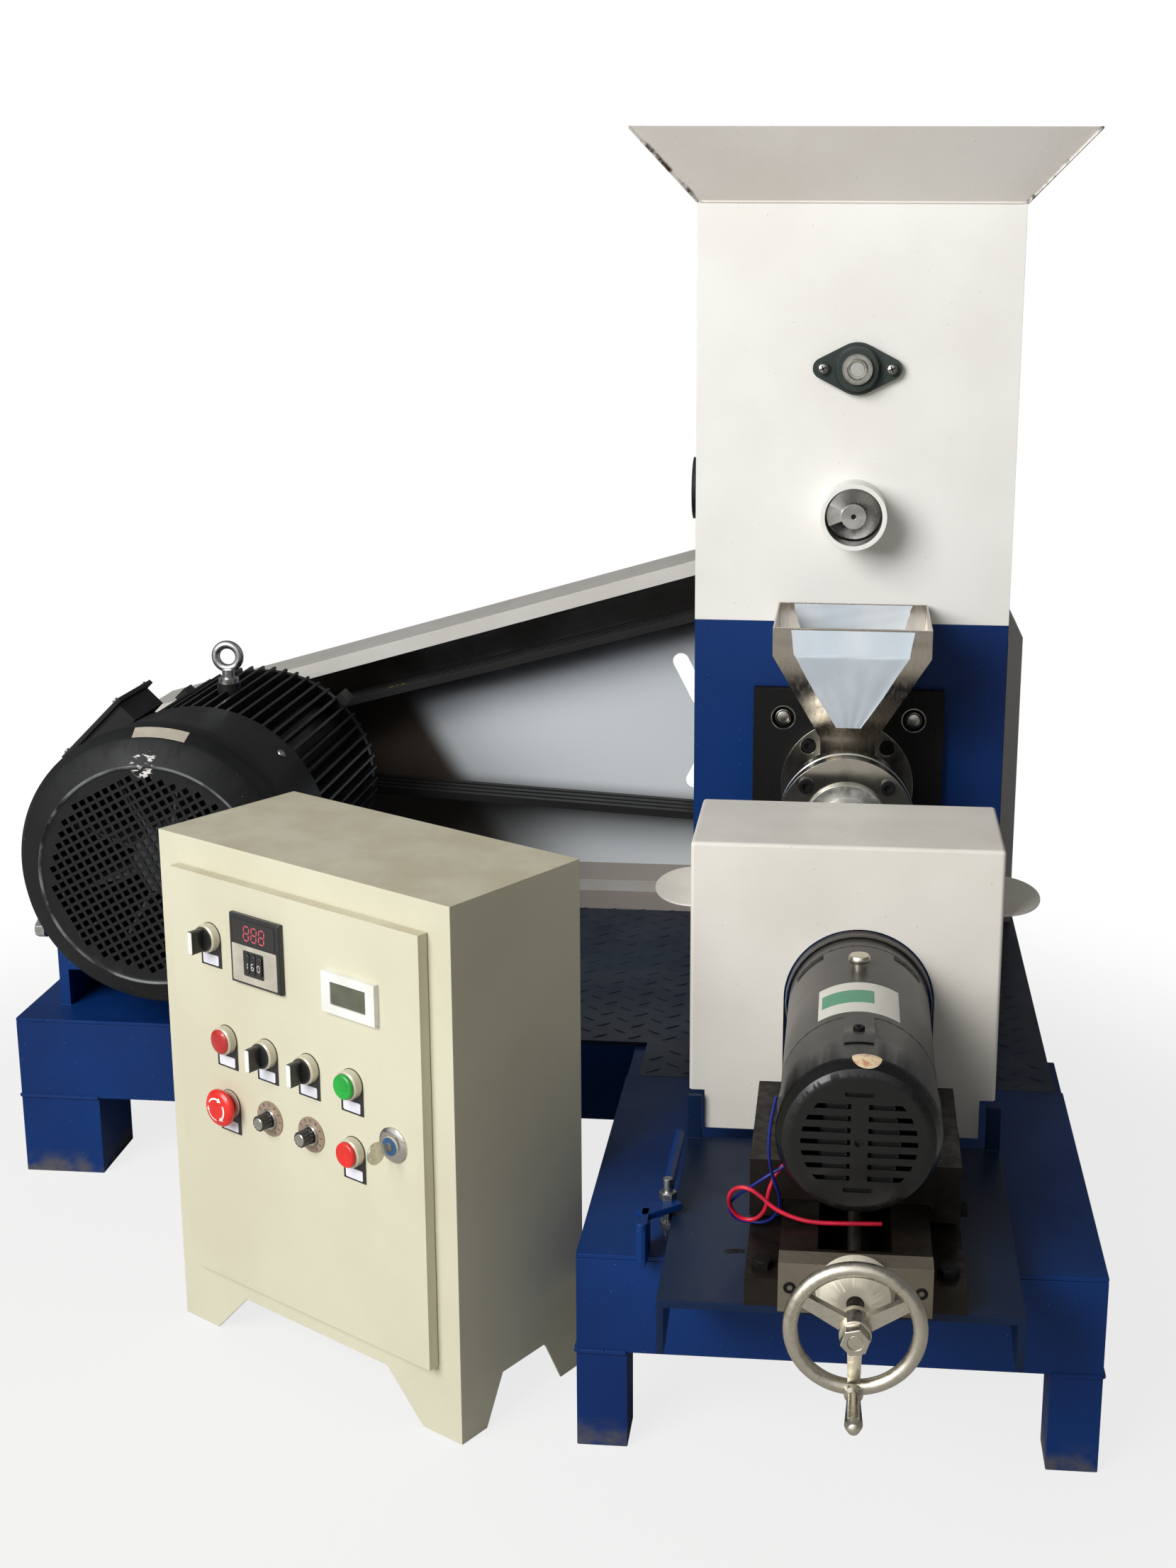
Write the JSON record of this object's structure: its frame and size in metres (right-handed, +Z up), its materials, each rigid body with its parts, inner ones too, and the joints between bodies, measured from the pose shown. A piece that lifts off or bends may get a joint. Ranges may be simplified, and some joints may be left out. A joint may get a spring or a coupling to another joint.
{
  "type": "screw extruder for pellets with a belt drive, a face cutter and a control cabinet",
  "caption": "Floor-standing screw extruder with a feed tower, belt-driven barrel, face cutter on a hand-wound slide and a control cabinet.",
  "frame": {"origin": "on the floor, at the middle of the whole set's plan", "axes": "+Z up; +Y away from the operator, along the barrel; +X to the operator's right"},
  "size_m": [1.273, 1.402, 1.257],
  "materials": {
    "frame_blue": "gloss",
    "deck_navy": "gloss",
    "tower_white": "satin",
    "guard_white": "satin",
    "plate_black": "satin",
    "barrel_steel": "turned",
    "stainless": "brushed",
    "bearing_green": "satin",
    "motor_black": "satin",
    "cowl_black": "satin",
    "belt_rubber": "matt",
    "pulley_iron": "turned",
    "zinc": "plated",
    "slide_iron": "oiled",
    "plate_iron": "cast",
    "wheel_chrome": "polished",
    "cutter_grey": "satin",
    "bell_black": "gloss",
    "cabinet_cream": "satin",
    "controller_black": "gloss",
    "meter_white": "satin",
    "bezel_cream": "gloss",
    "lamp_red": "gloss",
    "legend_black": "satin",
    "knob_black": "satin",
    "button_green": "gloss",
    "button_red": "gloss",
    "key_nickel": "polished",
    "lead_red": "satin",
    "lead_blue": "satin"
  },
  "bodies": {
    "machine": {"main_frame": "frame_blue", "table_frame": "frame_blue", "frame_legs": "frame_blue", "deck_plate": "deck_navy", "table_plate": "frame_blue", "pedestal": "frame_blue", "bearing_plate": "plate_black", "barrel": "barrel_steel", "die_nozzle": "barrel_steel", "inlet_funnel": "stainless", "feed_tower": "tower_white", "hopper": "tower_white", "feed_tube": "tower_white", "flange_bearing": "bearing_green", "feed_drive": "motor_black", "drive_belts": "belt_rubber", "belt_guard": "guard_white", "motor_frame": "motor_black", "fan_cowl": "cowl_black", "terminal_box": "motor_black", "eyebolt": "zinc", "motor_rails": "frame_blue", "cutter_cover": "guard_white", "bench": "frame_blue", "slide_base": "slide_iron", "slide_front_plate": "plate_iron", "cabinet_body": "cabinet_cream"},
    "auger": {"feed_auger": "stainless"},
    "agitator": {"agitator": "stainless"},
    "main_spindle": {"main_pulley": "pulley_iron", "screw_shaft": "barrel_steel"},
    "motor_rotor": {"motor_pulley": "pulley_iron", "motor_fan": "motor_black"},
    "wheel": {"handwheel": "wheel_chrome", "handwheel_grip": "wheel_chrome", "lead_screw": "slide_iron"},
    "cutter_slide": {"carriage": "slide_iron", "cutter_motor": "cutter_grey", "cutter_end_bell": "bell_black", "red_lead": "lead_red", "blue_lead": "lead_blue"},
    "cutter_rotor": {"cutter_knives": "barrel_steel"},
    "door": {"cabinet_door": "cabinet_cream", "temperature_controller": "controller_black", "panel_meter": "meter_white", "device_bezels": "bezel_cream", "pilot_lamp": "lamp_red", "door_plates": "legend_black"},
    "power_selector": {"power_selector": "knob_black"},
    "feed_selector": {"feed_selector": "knob_black"},
    "cutter_selector": {"cutter_selector": "knob_black"},
    "feed_speed_knob": {"feed_speed_knob": "knob_black"},
    "cutter_speed_knob": {"cutter_speed_knob": "knob_black"},
    "start_button": {"start_button": "button_green"},
    "stop_button": {"stop_button": "button_red"},
    "emergency_stop": {"emergency_stop": "button_red"},
    "key": {"key": "key_nickel"}
  },
  "joints": [
    {"name": "auger_spin", "type": "hinge", "parent": "machine", "child": "auger", "pos_m": [0.3785, 0.201, 0.828], "axis": [0, 1, 0], "continuous": true},
    {"name": "agitator_spin", "type": "hinge", "parent": "machine", "child": "agitator", "pos_m": [0.3785, 0.201, 0.994], "axis": [0, 1, 0], "continuous": true},
    {"name": "spindle_spin", "type": "hinge", "parent": "machine", "child": "main_spindle", "pos_m": [0.3785, 0.201, 0.503], "axis": [0, 1, 0], "continuous": true},
    {"name": "motor_spin", "type": "hinge", "parent": "machine", "child": "motor_rotor", "pos_m": [-0.4185, 0.201, 0.42], "axis": [0, 1, 0], "continuous": true},
    {"name": "handwheel_turn", "type": "hinge", "parent": "machine", "child": "wheel", "pos_m": [0.3955, -0.637, 0.26], "axis": [0, -1, 0], "range_deg": [0, 3600]},
    {"name": "cutter_travel", "type": "slide", "parent": "machine", "child": "cutter_slide", "axis": [0, -1, 0], "range_m": [0, 0.04]},
    {"name": "cutter_spin", "type": "hinge", "parent": "cutter_slide", "child": "cutter_rotor", "pos_m": [0.3955, -0.099, 0.383], "axis": [0, 1, 0], "continuous": true},
    {"name": "door_swing", "type": "hinge", "parent": "machine", "child": "door", "pos_m": [-0.30125, -0.25925, 0.3], "axis": [0, 0, -1], "range_deg": [0, 110]},
    {"name": "power_selector_turn", "type": "hinge", "parent": "door", "child": "power_selector", "pos_m": [-0.25104, -0.29023, 0.453], "axis": [-0.5252, -0.8509, 0], "range_deg": [-90, 0]},
    {"name": "feed_selector_turn", "type": "hinge", "parent": "door", "child": "feed_selector", "pos_m": [-0.18595, -0.33042, 0.348], "axis": [-0.5252, -0.8509, 0], "range_deg": [-90, 0]},
    {"name": "cutter_selector_turn", "type": "hinge", "parent": "door", "child": "cutter_selector", "pos_m": [-0.13531, -0.36167, 0.348], "axis": [-0.5252, -0.8509, 0], "range_deg": [-90, 0]},
    {"name": "feed_speed_knob_turn", "type": "hinge", "parent": "door", "child": "feed_speed_knob", "pos_m": [-0.18595, -0.33042, 0.278], "axis": [-0.5252, -0.8509, 0], "range_deg": [-270, 0]},
    {"name": "cutter_speed_knob_turn", "type": "hinge", "parent": "door", "child": "cutter_speed_knob", "pos_m": [-0.13531, -0.36167, 0.278], "axis": [-0.5252, -0.8509, 0], "range_deg": [-270, 0]},
    {"name": "start_button_press", "type": "slide", "parent": "door", "child": "start_button", "axis": [0.5252, 0.8509, 0], "range_m": [0, 0.004], "stiffness_N_per_m": 400},
    {"name": "stop_button_press", "type": "slide", "parent": "door", "child": "stop_button", "axis": [0.5252, 0.8509, 0], "range_m": [0, 0.004], "stiffness_N_per_m": 400},
    {"name": "emergency_stop_press", "type": "slide", "parent": "door", "child": "emergency_stop", "axis": [0.5252, 0.8509, 0], "range_m": [0, 0.004]},
    {"name": "key_turn", "type": "hinge", "parent": "door", "child": "key", "pos_m": [-0.03916, -0.42102, 0.3], "axis": [-0.5252, -0.8509, 0], "range_deg": [-90, 0]}
  ],
  "couplings": [
    {"joint": "agitator_spin", "follows": "auger_spin", "ratio": 1},
    {"joint": "motor_spin", "follows": "spindle_spin", "ratio": 3.54},
    {"joint": "handwheel_turn", "follows": "cutter_travel", "rad_per_m": 1570.8}
  ]
}
